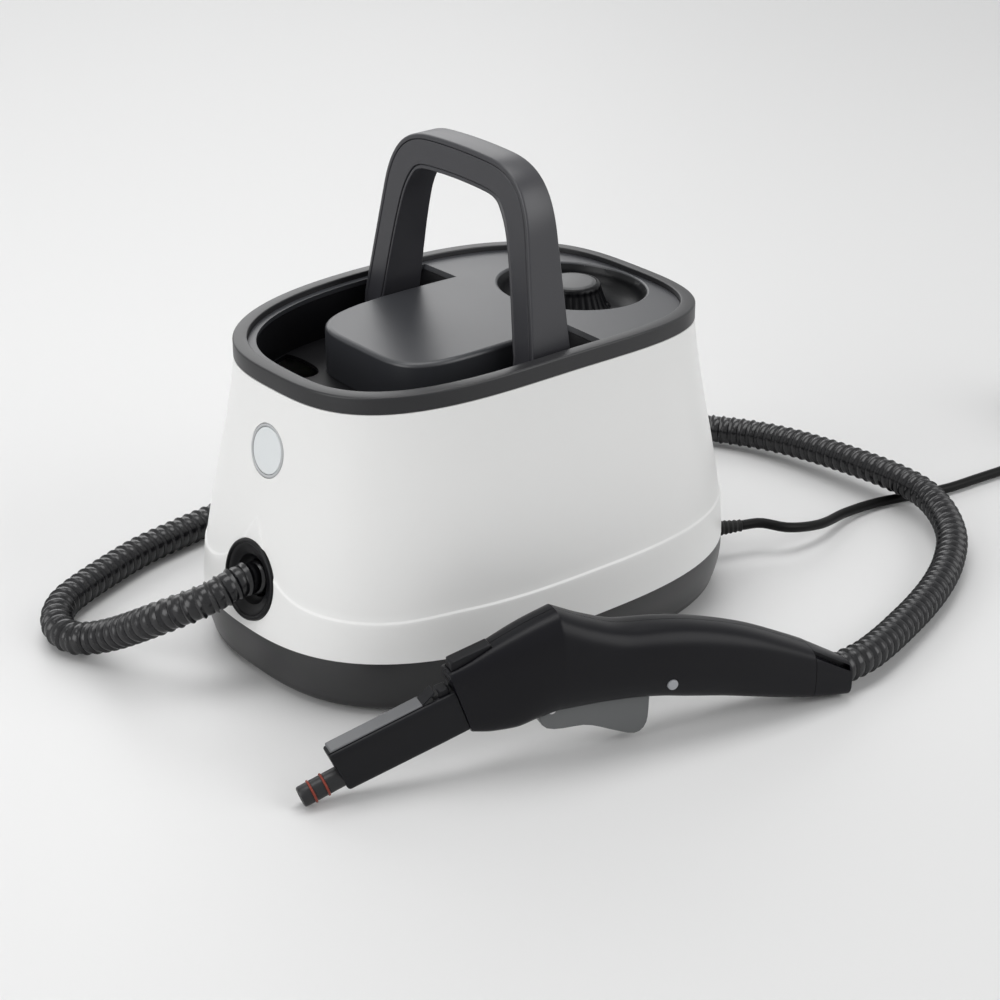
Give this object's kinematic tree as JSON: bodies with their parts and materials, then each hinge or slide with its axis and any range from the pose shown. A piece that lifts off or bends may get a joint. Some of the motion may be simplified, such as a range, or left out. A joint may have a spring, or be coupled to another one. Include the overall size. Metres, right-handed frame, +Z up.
{
  "type": "steam cleaner",
  "caption": "Compact canister steam cleaner: white flared body, dark deck with a fold-down carrying handle, filler cap, ribbed hose to a trigger gun, and a mains lead.",
  "frame": {"origin": "on the floor, under the middle of the box round the machine and its gun, with the hose and lead left out", "axes": "+Z up; -X towards the hose end of the machine, +X towards its filler cap; -Y towards the gun"},
  "size_m": [0.8439, 0.4464, 0.3034],
  "materials": {
    "white_plastic": "satin-gloss white moulding",
    "base_plastic": "dark grey satin moulding",
    "rim_plastic": "charcoal satin moulding",
    "deck_plastic": "charcoal satin moulding",
    "tray_plastic": "black satin moulding",
    "handle_plastic": "charcoal satin moulding",
    "cap_plastic": "black satin moulding",
    "cap_disc_plastic": "grey satin moulding",
    "gland_plastic": "black satin moulding",
    "bezel_plastic": "light grey gloss ring",
    "button_plastic": "blue-grey satin moulding",
    "hose_plastic": "glossy black ribbed sheath",
    "lead_plastic": "satin black cable sheath",
    "plug_plastic": "black moulded plug",
    "relief_rubber": "black rubber",
    "foot_rubber": "black rubber",
    "seal_rubber": "brick-red silicone",
    "spigot_plastic": "black moulding",
    "gun_plastic": "near-black satin moulding",
    "nose_plastic": "slate satin moulding",
    "trigger_plastic": "mid-grey satin moulding",
    "lock_plastic": "light grey moulding",
    "steel": "plain steel",
    "heater_steel": "heat-tinted steel",
    "brass": "machined brass",
    "copper": "copper tube",
    "phenolic": "brown phenolic",
    "board_laminate": "green laminate"
  },
  "bodies": {
    "machine": {"base_pan": "base_plastic", "boiler_lower": "steel", "boiler_upper": "steel", "button_bezel": "bezel_plastic", "channel_tray": "tray_plastic", "control_board": "board_laminate", "filler_neck": "steel", "foot_front_far": "foot_rubber", "foot_front_near": "foot_rubber", "foot_rear_far": "foot_rubber", "foot_rear_near": "foot_rubber", "gun_nose": "nose_plastic", "gun_shell_far": "gun_plastic", "gun_shell_near": "gun_plastic", "gun_tail_collar": "gun_plastic", "gun_tube_front": "copper", "gun_tube_rear": "copper", "gun_valve": "brass", "handle_pin_far": "steel", "handle_pin_near": "steel", "heater_ring": "heater_steel", "hose_ferrule": "brass", "hose_gland": "gland_plastic", "lead_coil": "lead_plastic", "lead_run": "lead_plastic", "mains_plug": "plug_plastic", "nozzle_spigot": "spigot_plastic", "outer_shell": "white_plastic", "power_switch": "phenolic", "pressure_switch": "phenolic", "solenoid_valve": "brass", "spigot_seal_front": "seal_rubber", "spigot_seal_rear": "seal_rubber", "steam_hose": "hose_plastic", "steam_pipe_boiler": "copper", "steam_pipe_hose": "copper", "strain_relief": "relief_rubber", "thermal_fuse": "phenolic", "thermostat": "phenolic", "top_deck": "deck_plastic", "top_rim": "rim_plastic", "trigger_pin": "steel"},
    "handle": {"handle_bow": "handle_plastic", "handle_front_trim": "handle_plastic"},
    "cap": {"cap_plug": "cap_plastic", "cap_seal": "seal_rubber"},
    "cap_top": {"cap_knob": "cap_plastic", "cap_disc": "cap_disc_plastic"},
    "button": {"power_button": "button_plastic"},
    "trigger_lever": {"trigger": "trigger_plastic"},
    "stem": {"valve_stem": "steel"},
    "lock": {"trigger_lock": "lock_plastic"},
    "release": {"release_button": "nose_plastic"}
  },
  "joints": [
    {"name": "handle_fold", "type": "hinge", "parent": "machine", "child": "handle", "pos_m": [0.0247, 0.0602, 0.1824], "axis": [0, -1, 0], "range_deg": [0, 90]},
    {"name": "cap_lift", "type": "slide", "parent": "machine", "child": "cap", "axis": [0, 0, 1], "range_m": [0, 0.06]},
    {"name": "cap_turn", "type": "hinge", "parent": "cap", "child": "cap_top", "pos_m": [0.1107, 0.0602, 0.19], "axis": [0, 0, 1], "range_deg": [0, 270]},
    {"name": "power_button_press", "type": "slide", "parent": "machine", "child": "button", "axis": [0.9819, 0, -0.1896], "range_m": [0, 0.0018], "stiffness_N_per_m": 900, "springref_m": -0.001},
    {"name": "trigger_pull", "type": "hinge", "parent": "machine", "child": "trigger_lever", "pos_m": [-0.06242, -0.12109, 0.0335], "axis": [-0.2827, -0.9592, 0], "range_deg": [0, 7.5], "stiffness_Nm_per_rad": 1.5, "springref_deg": -3.44},
    {"name": "valve_stem_lift", "type": "slide", "parent": "machine", "child": "stem", "axis": [0, 0, 1], "range_m": [0, 0.0054]},
    {"name": "trigger_lock_slide", "type": "slide", "parent": "machine", "child": "lock", "axis": [0.2827, 0.9592, 0], "range_m": [0, 0.004]},
    {"name": "release_press", "type": "slide", "parent": "machine", "child": "release", "axis": [0, 0, -1], "range_m": [0, 0.0025], "stiffness_N_per_m": 900, "springref_m": -0.001}
  ],
  "couplings": [
    {"joint": "valve_stem_lift", "follows": "trigger_pull", "m_per_rad": 0.04}
  ]
}
